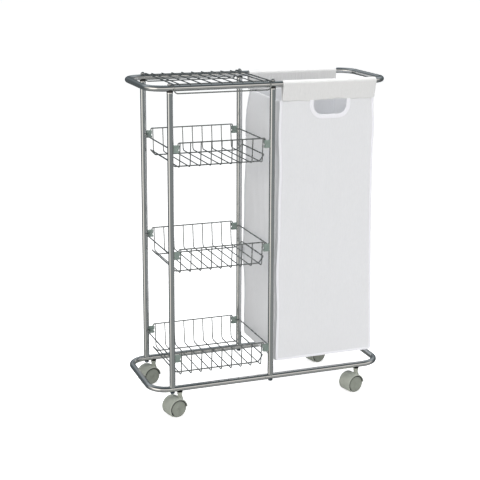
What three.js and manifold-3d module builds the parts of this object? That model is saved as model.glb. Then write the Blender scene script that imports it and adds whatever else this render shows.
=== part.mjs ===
// Laundry sorter on castors: a chromed tube frame with two rounded-rectangle rings, four posts,
// a wire shelf, three wire baskets in the left half and a hanging fabric bag in the right half.
// Millimetres, +Z up, +X along the length, +Y to the back. Origin on the floor under the rings' centre.
import * as THREE from 'three';
import { mergeVertices } from 'three/addons/utils/BufferGeometryUtils.js';
import Module from 'manifold-3d';

// ---------------------------------------------------------------- driving dimensions
const GAP = 0.3;

const TUBE_R = 7.8;
const TUBE_WALL = 1.2;
const TUBE_SIDES = 8;
const RING_BEND_STEPS = 4;
const RING_HALF_X = 326;
const RING_HALF_Y = 124;
const RING_CORNER_R = 50;
const LOW_RING_Z = 71.5;
const TOP_RING_Z = 857.5;
const RING_SEAM_X = -16;

const POST_XS = [-273.6, 0];
const POST_TOP_Z = 847.5;
const PLUG_HEIGHT = 26;
const BAY_X = -136.8;

const SHANK_R = 2.5;
const SHANK_SIDES = 8;
const SADDLE_PLUG_LENGTH = 14;
const SADDLE_LIP = 0.5;
const SADDLE_TOP_Z = TOP_RING_Z - 5.5;
const DOME_FLANGE_R = 6;
const DOME_PROFILE = [[6, 2.2], [4.4, 4.6], [2, 6.2], [0, 6.5]];
const FOOT_HEAD_R = 5.4;
const FOOT_HEAD_HEIGHT = 4;

const RIM_R = 1.6;
const ROD_CORNER_R = 1.35;
const ROD_SINK = 1.9;
const WELD_GAP = 0.5;
const RIM_SIDES = 6;
const ROD_COUNT = 9;
const ROD_PITCH = 27.8;
const WELD_X = BAY_X + ROD_PITCH / 2;
const RIM_HEIGHTS = { top: 719.5, middle: 444.5, bottom: 168.5 };
const RIM_DIP = 14;
const RIM_END_X = 115.5;
const RIM_ROUND_POST = 14.2;
const RIM_SLOPE_X = 4;
const RIM_BEND_R = 2.4;
const FLOOR_BEND_R = 6;
const ROD_BEND_R = 8;
const ROD_FOOT_Y = 118;
const WELD_HALF_LENGTH = 3;
const WELD_EXTRA_R = 0.35;
const FLOOR_DROP = 66;
const FLOOR_HALF_X = 115;
const FLOOR_HALF_Y = 88;
const GUARD_HALF_X = 130;
const GUARD_HALF_Y = 83;
const GUARD_DROP = 50;

const SHELF_FRAME_R = 1.75;
const SHELF_HALF_X = 128;
const SHELF_RAIL_Z = 845;

const CLIP_HEIGHT = 20;
const CLIP_LENGTH = 15.2;
const CLIP_THICKNESS = 7.6;
const CLIP_WRAP = 1.5;
const CLIP_NOTCH_R = 2.6;
const CLIP_NOTCH_DROP = 2;

const BAG = {
  left: 15, right: 297, leftTop: 20, rightTop: 290,
  halfY: 124, bottom: 112.5, sideTop: 813.5, wall: 2,
  sleeveStart: 26, sleeveEnd: 293, sleeveWall: 1.6,
};
const HAND_HOLE = { left: 111, right: 216, top: 811.5, bottom: 773.5, corner: 18 };
const BOARD_THICKNESS = 3;

const CASTOR_XS = { left: -254, right: 254 };
const CASTOR_TURN = THREE.MathUtils.degToRad(13.3);
const WHEEL_R = 24;
const WHEEL_SIDES = 16;
const WHEEL_INNER_Y = 6.3;
const WHEEL_OUTER_Y = 21.4;
const TRAIL = 15;
const HOOD_R = 26.6;
const HOOD_WALL = 1.8;
const HOOD_SEGMENTS = 8;
const HOOD_ANGLES = [5, 225].map(THREE.MathUtils.degToRad);
const WEB_HALF = 5.6;
const HUB_R = 9;
const AXLE_R = 3;
const AXLE_INSET = 1.5;
const STEM_R = 3.8;
const STEM_LOW_Z = 38;
const STEM_SIDES = 10;
const NECK_R = 5.8;
const NECK_LOW_Z = 30;
const NECK_TOP_Z = 56;
const COLLAR_R = 7;
const WASHER_R = 7.6;
const WASHER_HEIGHT = 1.4;

// ---------------------------------------------------------------- finishes
const FINISHES = {
  chrome: { color: 0xb9bfc0, roughness: 0.16, metalness: 1 },
  wire: { color: 0x7c8584, roughness: 0.3, metalness: 0.9 },
  clip: { color: 0x8b9a94, roughness: 0.5, metalness: 0 },
  black: { color: 0x1d1f20, roughness: 0.55, metalness: 0 },
  castor: { color: 0x9ba39b, roughness: 0.5, metalness: 0 },
  wheel: { color: 0x8a938b, roughness: 0.55, metalness: 0 },
  bag: { color: 0xdcdddf, roughness: 0.9, metalness: 0 },
  board: { color: 0xd9d9d6, roughness: 0.8, metalness: 0 },
};

// ---------------------------------------------------------------- solids
const wasm = await Module();
wasm.setup();

// Turns a closed three.js geometry into a solid that can be joined and cut.
function solid(geometry, matrix) {
  const bare = geometry.clone();
  bare.deleteAttribute('normal');
  bare.deleteAttribute('uv');
  if (matrix) bare.applyMatrix4(matrix);
  const merged = mergeVertices(bare, 1e-4);
  const mesh = new wasm.Mesh({
    numProp: 3,
    vertProperties: new Float32Array(merged.attributes.position.array),
    triVerts: new Uint32Array(merged.index.array),
  });
  return new wasm.Manifold(mesh);
}

function join(...solids) {
  return solids.reduce((whole, next) => whole.add(next));
}

function cut(body, ...tools) {
  return tools.reduce((left, tool) => left.subtract(tool), body);
}

function toGeometry(body) {
  const mesh = body.getMesh();
  const geometry = new THREE.BufferGeometry();
  geometry.setAttribute('position', new THREE.BufferAttribute(new Float32Array(mesh.vertProperties), 3));
  geometry.setIndex(new THREE.BufferAttribute(new Uint32Array(mesh.triVerts), 1));
  geometry.computeVertexNormals();
  return geometry;
}

function place(x, y, z) {
  return new THREE.Matrix4().makeTranslation(x, y, z);
}

function box(low, high) {
  const size = high.map((value, i) => value - low[i]);
  const centre = high.map((value, i) => (value + low[i]) / 2);
  return solid(new THREE.BoxGeometry(...size), place(...centre));
}

// A solid of revolution about a vertical axis through (x, y). The profile is a list of [radius, z]
// that starts and ends on the axis.
function turned(profile, x = 0, y = 0, sides = TUBE_SIDES) {
  const points = profile.map(([radius, z]) => new THREE.Vector2(radius, z));
  const lathe = new THREE.LatheGeometry(points, sides);
  return solid(lathe, place(x, y, 0).multiply(new THREE.Matrix4().makeRotationX(Math.PI / 2)));
}

function post(x, y, radius, zLow, zHigh, sides = TUBE_SIDES) {
  return turned([[0, zLow], [radius, zLow], [radius, zHigh], [0, zHigh]], x, y, sides);
}

// A cylinder from start to end, for bores, notches and hubs.
function rod(start, end, radius, sides = 12) {
  const from = new THREE.Vector3(...start);
  const to = new THREE.Vector3(...end);
  const along = new THREE.Vector3().subVectors(to, from);
  const cylinder = new THREE.CylinderGeometry(radius, radius, along.length(), sides);
  const ownAxis = new THREE.Vector3(0, 1, 0);
  const turn = new THREE.Quaternion().setFromUnitVectors(ownAxis, along.clone().normalize());
  const middle = from.add(to).multiplyScalar(0.5);
  return solid(cylinder, new THREE.Matrix4().compose(middle, turn, new THREE.Vector3(1, 1, 1)));
}

// ---------------------------------------------------------------- bent wire and tube
// A path through corner points with a circular bend at each inner corner. Its stations lie only
// at the ends and in the bends, so that a straight stretch takes a single step.
class BentPath extends THREE.Curve {
  constructor(corners, bendRadius, stepsPerBend) {
    super();
    const points = corners.map((corner) => new THREE.Vector3(...corner));
    this.stations = [points[0]];
    for (let i = 1; i < points.length - 1; i += 1) {
      this.stations.push(...bend(points[i - 1], points[i], points[i + 1], bendRadius, stepsPerBend));
    }
    this.stations.push(points[points.length - 1]);
  }

  get steps() {
    return this.stations.length - 1;
  }

  getPointAt(u, target = new THREE.Vector3()) {
    return target.copy(this.stations[Math.round(u * this.steps)]);
  }

  getTangentAt(u, target = new THREE.Vector3()) {
    const i = Math.round(u * this.steps);
    const before = this.stations[Math.max(i - 1, 0)];
    const here = this.stations[i];
    const after = this.stations[Math.min(i + 1, this.steps)];
    const inward = new THREE.Vector3().subVectors(here, before).normalize();
    const outward = new THREE.Vector3().subVectors(after, here).normalize();
    return target.copy(inward).add(outward).normalize();
  }
}

// The points of one circular bend: tangent to both legs, at equal turns about its centre.
function bend(before, corner, after, radius, steps) {
  const back = new THREE.Vector3().subVectors(before, corner).normalize();
  const on = new THREE.Vector3().subVectors(after, corner).normalize();
  const half = back.angleTo(on) / 2;
  const centre = new THREE.Vector3().addVectors(back, on).normalize()
    .multiplyScalar(radius / Math.sin(half)).add(corner);
  const start = corner.clone().addScaledVector(back, radius / Math.tan(half)).sub(centre);
  const axis = new THREE.Vector3().crossVectors(back, on).normalize().negate();
  const sweep = Math.PI - 2 * half;
  const points = [];
  for (let i = 0; i <= steps; i += 1) {
    points.push(start.clone().applyAxisAngle(axis, (sweep * i) / steps).add(centre));
  }
  return points;
}

function ngon(radius, sides, PathType = THREE.Shape) {
  const outline = new PathType();
  const points = [];
  for (let i = 0; i < sides; i += 1) {
    const angle = (2 * Math.PI * (i + 0.5)) / sides;
    points.push(new THREE.Vector2(radius * Math.cos(angle), radius * Math.sin(angle)));
  }
  outline.setFromPoints(points);
  outline.closePath();
  return outline;
}

function sweep(section, path) {
  return new THREE.ExtrudeGeometry(section, { steps: path.steps, extrudePath: path, bevelEnabled: false });
}

function wire(corners, radius, bendRadius, stepsPerBend = 2, sides = RIM_SIDES) {
  return solid(sweep(ngon(radius, sides), new BentPath(corners, bendRadius, stepsPerBend)));
}

// A thin rod, drawn as a square bar whose corners stay inside the thicker wire that it is welded to.
function thinRod(corners) {
  return wire(corners, ROD_CORNER_R, ROD_BEND_R, 2, 4);
}

// The butt weld that closes a loop made of two bent halves, on a stretch along X.
function weldBead(x, y, z, wireR) {
  const ends = [[x - WELD_HALF_LENGTH, y, z], [x + WELD_HALF_LENGTH, y, z]];
  return wire(ends, wireR + WELD_EXTRA_R, 1, 1);
}

// ---------------------------------------------------------------- rings and posts
// One U-shaped half of a ring. side is -1 for the left half and 1 for the right half.
function ringCorners(side, z) {
  const seam = RING_SEAM_X + (side * GAP) / 2;
  const end = side * RING_HALF_X;
  return [[seam, -RING_HALF_Y, z], [end, -RING_HALF_Y, z], [end, RING_HALF_Y, z], [seam, RING_HALF_Y, z]];
}

function ringHalf(side, z, cutters) {
  const path = new BentPath(ringCorners(side, z), RING_CORNER_R, RING_BEND_STEPS);
  const section = ngon(TUBE_R, TUBE_SIDES);
  section.holes.push(ngon(TUBE_R - TUBE_WALL, TUBE_SIDES, THREE.Path));
  return cut(solid(sweep(section, path)), ...cutters);
}

// The room that a whole ring takes up, with clearance, for cutting what touches it.
function ringRoom(z) {
  const section = ngon(TUBE_R + GAP, TUBE_SIDES);
  const halves = [-1, 1].map((side) => {
    const corners = ringCorners(side, z);
    corners[0][0] -= side;
    corners[3][0] -= side;
    return solid(sweep(section, new BentPath(corners, RING_CORNER_R, RING_BEND_STEPS)));
  });
  return join(...halves);
}

const LOW_RING_ROOM = ringRoom(LOW_RING_Z);
const TOP_RING_ROOM = ringRoom(TOP_RING_Z);

function postPlaces() {
  const places = [];
  for (const [i, x] of POST_XS.entries()) {
    places.push({ name: `${['left', 'middle'][i]}_front`, x, y: -RING_HALF_Y });
    places.push({ name: `${['left', 'middle'][i]}_back`, x, y: RING_HALF_Y });
  }
  return places;
}

function castorPlaces() {
  const places = [];
  for (const [end, x] of Object.entries(CASTOR_XS)) {
    places.push({ name: `front_${end}`, x, y: -RING_HALF_Y });
    places.push({ name: `back_${end}`, x, y: RING_HALF_Y });
  }
  return places;
}

function boltHoles(z) {
  return postPlaces().map(({ x, y }) => post(x, y, SHANK_R + GAP, z - 10, z + 10, SHANK_SIDES));
}

function stemHoles() {
  return castorPlaces().map(({ x, y }) => post(x, y, STEM_R + GAP, LOW_RING_Z - 10, LOW_RING_Z, STEM_SIDES));
}

// The post's foot is solid up to here, and the foot bolt threads into it.
const PLUG_TOP_Z = LOW_RING_Z + PLUG_HEIGHT;

function framePost({ x, y }) {
  const outside = post(x, y, TUBE_R, LOW_RING_Z, POST_TOP_Z, TUBE_SIDES);
  const inside = post(x, y, TUBE_R - TUBE_WALL, PLUG_TOP_Z, POST_TOP_Z + 1, TUBE_SIDES);
  const threaded = post(x, y, SHANK_R + GAP, LOW_RING_Z, PLUG_TOP_Z + 1, SHANK_SIDES);
  return cut(outside, inside, LOW_RING_ROOM, threaded);
}

// The plastic saddle: a plug in the post's top with a cradle for the ring.
function saddle({ x, y }) {
  const plugR = TUBE_R - TUBE_WALL - GAP;
  const headR = TUBE_R + SADDLE_LIP;
  const plugLow = POST_TOP_Z - SADDLE_PLUG_LENGTH;
  const body = turned([[0, plugLow], [plugR, plugLow], [plugR, POST_TOP_Z + GAP],
    [headR, POST_TOP_Z + GAP], [headR, SADDLE_TOP_Z], [0, SADDLE_TOP_Z]], x, y);
  const bore = post(x, y, SHANK_R + GAP, plugLow - 1, TOP_RING_Z, SHANK_SIDES);
  return cut(body, TOP_RING_ROOM, bore);
}

// A domed bolt on the top ring, its shank running down through the ring and the saddle.
function domedBolt({ x, y }) {
  const seat = TOP_RING_Z + TUBE_R + GAP;
  const shankLow = POST_TOP_Z - SADDLE_PLUG_LENGTH + 2;
  const dome = DOME_PROFILE.map(([radius, height]) => [radius, seat + height]);
  return turned([[0, shankLow], [SHANK_R, shankLow], [SHANK_R, seat], [DOME_FLANGE_R, seat], ...dome],
    x, y, SHANK_SIDES);
}

// A hexagon bolt under the bottom ring, its shank threaded into the post's foot.
function footBolt({ x, y }) {
  const seat = LOW_RING_Z - TUBE_R - GAP;
  const headLow = seat - FOOT_HEAD_HEIGHT;
  const shankTop = PLUG_TOP_Z - 4;
  return turned([[0, headLow], [FOOT_HEAD_R, headLow], [FOOT_HEAD_R, seat], [SHANK_R, seat],
    [SHANK_R, shankTop], [0, shankTop]], x, y, 6);
}

// ---------------------------------------------------------------- baskets
// Half of the rim, from the weld on one long side to the weld on the other: down beside the post,
// round its inner side, along the end and back the same way.
function rimHalf(sx, z, extra = 0) {
  const postX = BAY_X + sx * Math.abs(BAY_X);
  const low = z - RIM_DIP;
  const side = (sy) => [[WELD_X + sx * WELD_GAP, sy * RING_HALF_Y, z],
    [BAY_X + sx * RIM_END_X, sy * RING_HALF_Y, z],
    [BAY_X + sx * (RIM_END_X + RIM_SLOPE_X), sy * RING_HALF_Y, low],
    [postX - sx * RIM_ROUND_POST, sy * RING_HALF_Y, low],
    [postX, sy * (RING_HALF_Y - RIM_ROUND_POST), low]];
  return wire([...side(-1), ...side(1).reverse()], RIM_R + extra, RIM_BEND_R, 1);
}

// Half of the lower loop: floor wires along the long sides that rise at the end into a guard.
function floorHalf(sx, z) {
  const low = z - FLOOR_DROP;
  const side = (sy) => [[WELD_X + sx * WELD_GAP, sy * FLOOR_HALF_Y, low],
    [BAY_X + sx * FLOOR_HALF_X, sy * FLOOR_HALF_Y, low],
    [BAY_X + sx * GUARD_HALF_X, sy * GUARD_HALF_Y, z - GUARD_DROP]];
  return wire([...side(-1), ...side(1).reverse()], RIM_R, FLOOR_BEND_R, 1);
}

// One U-shaped rod: down from the front rim, across over the floor wires, and up to the back rim.
function basketRod(x, z) {
  const low = z - FLOOR_DROP + ROD_SINK;
  return thinRod([[x, -RING_HALF_Y, z], [x, -ROD_FOOT_Y, low], [x, ROD_FOOT_Y, low], [x, RING_HALF_Y, z]]);
}

function rodXs() {
  return Array.from({ length: ROD_COUNT }, (_, i) => BAY_X + (i - (ROD_COUNT - 1) / 2) * ROD_PITCH);
}

function basket(z) {
  const parts = rodXs().map((x) => basketRod(x, z));
  for (const side of [-1, 1]) {
    parts.push(rimHalf(side, z), floorHalf(side, z));
    parts.push(weldBead(WELD_X, side * RING_HALF_Y, z, RIM_R));
    parts.push(weldBead(WELD_X, side * FLOOR_HALF_Y, z - FLOOR_DROP, RIM_R));
  }
  return join(...parts);
}

// The clip sits against a post's inner side, hollowed to fit it, and holds the rim where it dips.
function clip(sx, sy, z) {
  const x = BAY_X + sx * Math.abs(BAY_X);
  const y = sy * RING_HALF_Y;
  const middle = z - RIM_DIP - 1;
  const low = middle - CLIP_HEIGHT / 2;
  const high = middle + CLIP_HEIGHT / 2;
  const near = x - sx * (TUBE_R - CLIP_WRAP);
  const far = x - sx * (TUBE_R + CLIP_LENGTH);
  const plate = box([Math.min(near, far), y - CLIP_THICKNESS / 2, low],
    [Math.max(near, far), y + CLIP_THICKNESS / 2, high]);
  const notchZ = middle - CLIP_NOTCH_DROP;
  const notch = rod([far, y - CLIP_THICKNESS, notchZ], [far, y + CLIP_THICKNESS, notchZ], CLIP_NOTCH_R, 6);
  const bore = post(x, y, TUBE_R + GAP, low - 1, high + 1);
  return cut(plate, bore, notch, rimHalf(sx, z, GAP));
}

// ---------------------------------------------------------------- shelf
// Half of the shelf's outer frame: up from the front rail, over the ring, across and down again.
function shelfFrameHalf(sx) {
  const overTube = TUBE_R + SHELF_FRAME_R + GAP;
  const reach = RING_HALF_Y + overTube;
  const top = TOP_RING_Z + overTube;
  const x = BAY_X + sx * SHELF_HALF_X;
  const weld = WELD_X + sx * WELD_GAP;
  const path = [[weld, -reach, SHELF_RAIL_Z], [x, -reach, SHELF_RAIL_Z], [x, -reach, top], [x, reach, top],
    [x, reach, SHELF_RAIL_Z], [weld, reach, SHELF_RAIL_Z]];
  return wire(path, SHELF_FRAME_R, overTube, 3);
}

// Cross rods over the ring, on two long rods that lie inside it, in a bent outer frame.
function shelf() {
  const top = TOP_RING_Z + TUBE_R + ROD_CORNER_R;
  const inside = RING_HALF_Y - TUBE_R - 2 * ROD_CORNER_R;
  const reach = RING_HALF_Y + TUBE_R + SHELF_FRAME_R + GAP;
  const parts = rodXs().map((x) => thinRod([[x, -RING_HALF_Y - 2, top], [x, RING_HALF_Y + 2, top]]));
  for (const side of [-1, 1]) {
    const z = top - ROD_CORNER_R;
    const ends = [BAY_X - SHELF_HALF_X, BAY_X + SHELF_HALF_X].map((x) => [x, side * inside, z]);
    parts.push(thinRod(ends));
    parts.push(shelfFrameHalf(side));
    parts.push(weldBead(WELD_X, side * reach, SHELF_RAIL_Z, SHELF_FRAME_R - GAP));
  }
  return join(...parts);
}

// ---------------------------------------------------------------- bag
// A box that narrows towards the top, shrunk on every side by inset.
function bagBlock(inset, low, high) {
  const block = new THREE.BoxGeometry(2, 2, 2);
  const position = block.attributes.position;
  for (let i = 0; i < position.count; i += 1) {
    const up = position.getZ(i) > 0;
    const left = up ? BAG.leftTop : BAG.left;
    const right = up ? BAG.rightTop : BAG.right;
    const x = position.getX(i) < 0 ? left + inset : right - inset;
    position.setXYZ(i, x, Math.sign(position.getY(i)) * (BAG.halfY - inset), up ? high : low);
  }
  return solid(block);
}

function bagPanel(sy) {
  const outer = sy * BAG.halfY;
  const inner = sy * (BAG.halfY - BAG.wall);
  const low = Math.min(outer, inner);
  const high = Math.max(outer, inner);
  return box([BAG.sleeveStart, low, BAG.sideTop - 40], [BAG.rightTop, high, TOP_RING_Z]);
}

// The sleeve runs along the ring and a little way into its corner.
function bagSleeve(sy, radius) {
  const bendStart = RING_HALF_X - RING_CORNER_R;
  const turn = Math.asin((BAG.sleeveEnd - bendStart) / RING_CORNER_R);
  const points = [[BAG.sleeveStart, sy * RING_HALF_Y, TOP_RING_Z], [bendStart, sy * RING_HALF_Y, TOP_RING_Z]];
  for (const part of [0.5, 1]) {
    const angle = turn * part;
    const x = bendStart + RING_CORNER_R * Math.sin(angle);
    points.push([x, sy * (RING_HALF_Y - RING_CORNER_R * (1 - Math.cos(angle))), TOP_RING_Z]);
  }
  return wire(points, radius, 3, 1, TUBE_SIDES);
}

function handHole() {
  const { left, right, top, bottom, corner } = HAND_HOLE;
  const outline = new THREE.Shape();
  outline.moveTo(left, top);
  outline.lineTo(left, bottom + corner);
  outline.absarc(left + corner, bottom + corner, corner, Math.PI, 1.5 * Math.PI);
  outline.absarc(right - corner, bottom + corner, corner, 1.5 * Math.PI, 2 * Math.PI);
  outline.lineTo(right, top);
  const block = new THREE.ExtrudeGeometry(outline, { depth: 20, bevelEnabled: false, curveSegments: 5 });
  const stand = new THREE.Matrix4().makeRotationX(Math.PI / 2);
  return solid(block, place(0, -BAG.halfY + 10, 0).multiply(stand));
}

function bag() {
  const inside = bagBlock(BAG.wall, BAG.bottom + BAG.wall, BAG.sideTop + 1);
  const parts = [cut(bagBlock(0, BAG.bottom, BAG.sideTop), inside)];
  for (const sy of [-1, 1]) {
    parts.push(bagPanel(sy));
    parts.push(bagSleeve(sy, TUBE_R + GAP + BAG.sleeveWall));
  }
  return cut(join(...parts), TOP_RING_ROOM, handHole());
}

function baseBoard() {
  const low = BAG.bottom + BAG.wall + GAP;
  const inset = BAG.wall + 2;
  return box([BAG.left + inset, -BAG.halfY + inset, low],
    [BAG.right - inset, BAG.halfY - inset, low + BOARD_THICKNESS]);
}

// ---------------------------------------------------------------- castors
// Each castor is modelled about its own stem at x = y = 0, with the axle along Y and trailing to -X.
function castorStem() {
  const ringBottom = LOW_RING_Z - TUBE_R - GAP;
  const collarLow = NECK_TOP_Z + 1;
  const washerLow = ringBottom - WASHER_HEIGHT;
  return turned([[0, STEM_LOW_Z], [STEM_R, STEM_LOW_Z], [STEM_R, collarLow], [COLLAR_R, collarLow],
    [COLLAR_R, washerLow], [WASHER_R, washerLow], [WASHER_R, ringBottom], [STEM_R, ringBottom],
    [STEM_R, LOW_RING_Z - 1], [0, LOW_RING_Z - 1]], 0, 0, STEM_SIDES);
}

// A band or disc about the axle over the wheels. Its facets lie outside the radii that are asked for.
function sector(innerR, outerR, halfWidth) {
  const [from, to] = HOOD_ANGLES;
  const spread = 1 / Math.cos((to - from) / (2 * HOOD_SEGMENTS));
  const outline = new THREE.Shape();
  outline.absarc(0, 0, outerR * spread, from, to, false);
  if (innerR > 0) outline.absarc(0, 0, innerR * spread, to, from, true);
  const options = { depth: 2 * halfWidth, bevelEnabled: false, curveSegments: HOOD_SEGMENTS };
  const block = new THREE.ExtrudeGeometry(outline, options);
  const stand = new THREE.Matrix4().makeRotationX(Math.PI / 2);
  return solid(block, place(-TRAIL, halfWidth, WHEEL_R).multiply(stand));
}

function axleBore(radius, halfLength) {
  return rod([-TRAIL, -halfLength, WHEEL_R], [-TRAIL, halfLength, WHEEL_R], radius, 12);
}

function castorHousing() {
  const hood = sector(HOOD_R - HOOD_WALL, HOOD_R, WHEEL_OUTER_Y - 0.4);
  const web = sector(0, HOOD_R - 0.5, WEB_HALF);
  const hub = rod([-TRAIL, -WEB_HALF, WHEEL_R], [-TRAIL, WEB_HALF, WHEEL_R], HUB_R);
  const neck = post(0, 0, NECK_R, NECK_LOW_Z, NECK_TOP_Z, STEM_SIDES);
  const bore = post(0, 0, STEM_R + GAP, STEM_LOW_Z - 0.5, NECK_TOP_Z + 1, STEM_SIDES);
  const insideR = HOOD_R - HOOD_WALL;
  const clear = new THREE.CylinderGeometry(insideR, insideR, WHEEL_OUTER_Y, WHEEL_SIDES);
  const wellY = WEB_HALF + WHEEL_OUTER_Y / 2;
  const wells = [-1, 1].map((side) => solid(clear, place(-TRAIL, side * wellY, WHEEL_R)));
  return cut(join(cut(neck, ...wells), hood, web, hub), bore, axleBore(AXLE_R + 0.05, 40));
}

function castorAxle() {
  return axleBore(AXLE_R, WHEEL_OUTER_Y - AXLE_INSET);
}

// side is -1 for the wheel on the -Y end of the axle.
function castorWheel(side) {
  const inner = WHEEL_INNER_Y;
  const outer = WHEEL_OUTER_Y;
  const rimR = WHEEL_R / Math.cos(Math.PI / WHEEL_SIDES);
  const boreR = AXLE_R + GAP;
  const profile = [[boreR, inner], [rimR, inner], [rimR, outer - 2], [rimR - 2, outer], [boreR, outer],
    [boreR, inner]];
  const lathe = new THREE.LatheGeometry(profile.map(([r, y]) => new THREE.Vector2(r, y)), WHEEL_SIDES);
  const settle = new THREE.Matrix4().makeRotationY(Math.PI / WHEEL_SIDES);
  const flip = new THREE.Matrix4().makeRotationX(side < 0 ? Math.PI : 0);
  return solid(lathe, place(-TRAIL, 0, WHEEL_R).multiply(flip).multiply(settle));
}

// ---------------------------------------------------------------- assembly
const group = new THREE.Group();

function addMesh(parent, name, body, finish, z = 0) {
  const geometry = body.isBufferGeometry ? body : toGeometry(body);
  const mesh = new THREE.Mesh(geometry, new THREE.MeshStandardMaterial(FINISHES[finish]));
  mesh.name = name;
  mesh.position.z = z;
  parent.add(mesh);
}

function addRings() {
  const bolts = { top: boltHoles(TOP_RING_Z), bottom: [...boltHoles(LOW_RING_Z), ...stemHoles()] };
  const heights = { top: TOP_RING_Z, bottom: LOW_RING_Z };
  for (const [level, z] of Object.entries(heights)) {
    addMesh(group, `${level}_ring_left`, ringHalf(-1, z, bolts[level]), 'chrome');
    addMesh(group, `${level}_ring_right`, ringHalf(1, z, bolts[level]), 'chrome');
  }
}

function addPosts() {
  for (const at of postPlaces()) {
    addMesh(group, `post_${at.name}`, framePost(at), 'chrome');
    addMesh(group, `saddle_${at.name}`, saddle(at), 'black');
    addMesh(group, `domed_bolt_${at.name}`, domedBolt(at), 'chrome');
    addMesh(group, `foot_bolt_${at.name}`, footBolt(at), 'black');
  }
}

function addBaskets() {
  const basketGeometry = toGeometry(basket(0));
  for (const [level, z] of Object.entries(RIM_HEIGHTS)) {
    addMesh(group, `basket_${level}`, basketGeometry, 'wire', z);
  }
  for (const [sx, xName] of [[-1, 'left'], [1, 'middle']]) {
    for (const [sy, yName] of [[-1, 'front'], [1, 'back']]) {
      const clipGeometry = toGeometry(clip(sx, sy, 0));
      for (const [level, z] of Object.entries(RIM_HEIGHTS)) {
        addMesh(group, `clip_${level}_${xName}_${yName}`, clipGeometry, 'clip', z);
      }
    }
  }
}

function addCastors() {
  const housing = toGeometry(castorHousing());
  const wheels = { front: toGeometry(castorWheel(-1)), back: toGeometry(castorWheel(1)) };
  const stem = toGeometry(castorStem());
  const axle = toGeometry(castorAxle());
  for (const { name, x, y } of castorPlaces()) {
    const castor = new THREE.Group();
    castor.position.set(x, y, 0);
    castor.rotation.z = CASTOR_TURN;
    addMesh(castor, `castor_${name}_stem`, stem, 'black');
    addMesh(castor, `castor_${name}_housing`, housing, 'castor');
    addMesh(castor, `castor_${name}_axle`, axle, 'chrome');
    addMesh(castor, `castor_${name}_wheel_1`, wheels.front, 'wheel');
    addMesh(castor, `castor_${name}_wheel_2`, wheels.back, 'wheel');
    group.add(castor);
  }
}

addRings();
addPosts();
addMesh(group, 'top_shelf', shelf(), 'wire');
addBaskets();
addMesh(group, 'laundry_bag', bag(), 'bag');
addMesh(group, 'bag_base_board', baseBoard(), 'board');
addCastors();

export default group;
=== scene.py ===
import math

import bmesh
import bpy
import numpy as np
from mathutils import Matrix, Vector


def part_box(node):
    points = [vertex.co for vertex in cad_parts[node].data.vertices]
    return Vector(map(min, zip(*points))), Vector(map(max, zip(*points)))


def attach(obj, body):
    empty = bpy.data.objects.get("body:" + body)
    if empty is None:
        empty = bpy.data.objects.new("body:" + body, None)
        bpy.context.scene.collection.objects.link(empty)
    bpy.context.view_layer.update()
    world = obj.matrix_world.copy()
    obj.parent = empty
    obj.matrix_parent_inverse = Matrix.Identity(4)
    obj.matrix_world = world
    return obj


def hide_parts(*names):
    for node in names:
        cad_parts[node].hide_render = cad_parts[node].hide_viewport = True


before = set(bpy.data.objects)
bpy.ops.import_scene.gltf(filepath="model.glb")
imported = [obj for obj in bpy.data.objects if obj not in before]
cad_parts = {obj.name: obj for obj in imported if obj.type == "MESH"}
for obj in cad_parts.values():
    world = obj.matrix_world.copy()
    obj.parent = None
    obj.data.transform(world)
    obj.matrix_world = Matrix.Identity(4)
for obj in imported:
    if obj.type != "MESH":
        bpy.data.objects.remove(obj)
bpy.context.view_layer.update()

MM = 0.001
TAU = 2 * math.pi

# ---------------------------------------------------------------- sizes, in millimetres


def box_mm(node):
    """Lowest and highest corner of a CAD node, in millimetres."""
    low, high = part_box(node)
    return np.array(low) / MM, np.array(high) / MM


def middle_mm(node):
    """The middle of a CAD node's box, in millimetres."""
    low, high = box_mm(node)
    return (low + high) / 2


TUBE_R = 7.8
SEAT_GAP = 0.3
RING_HALF_X = 326.0
RING_HALF_Y = 124.0
RING_CORNER_R = 50.0
LOW_RING_Z = middle_mm("bottom_ring_left")[2]
TOP_RING_Z = middle_mm("top_ring_left")[2]
SEAM_X = box_mm("bottom_ring_left")[1][0] + SEAT_GAP / 2

POSTS = {
    name: middle_mm(f"post_{name}")[:2]
    for name in ("left_front", "left_back", "middle_front", "middle_back")
}
POST_TOP_Z = box_mm("post_left_front")[1][2]
BAY_X = (POSTS["left_front"][0] + POSTS["middle_front"][0]) / 2

POST_TOP_EASE = 2.5
SADDLE_LIP = 0.5
SADDLE_DROP = 5.5

RIM_R = 1.75
ROD_R = 1.45
WELD_TOP = 1.95
ROD_COUNT = 9
ROD_PITCH = 27.8
RIM_DIP = 14.0
RIM_END_X, RIM_SLOPE_X, RIM_ROUND_POST = 115.5, 4.0, 14.2
RIM_BEND_R, ROD_BEND_R, FLOOR_BEND_R = 2.4, 8.0, 6.5
ROD_FOOT_Y = 118.0
FLOOR_DROP = 66.0
FLOOR_HALF_X, FLOOR_HALF_Y = 115.0, 88.0
GUARD_HALF_X, GUARD_HALF_Y, GUARD_DROP = 130.0, 83.0, 50.0
RIM_HEIGHTS = {
    level: box_mm(f"basket_{level}")[1][2] - WELD_TOP
    for level in ("top", "middle", "bottom")
}
WELD_X = BAY_X + ROD_PITCH / 2

SHELF_FRAME_R = 1.75
SHELF_HALF_X = 128.0
SHELF_RAIL_Z = 845.0

CLIP_LENGTH, CLIP_HALF_HEIGHT, CLIP_THICKNESS = 15.2, 10.0, 7.6
CLIP_NOTCH_R, CLIP_NOTCH_Z = 2.6, -2.0

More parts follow.
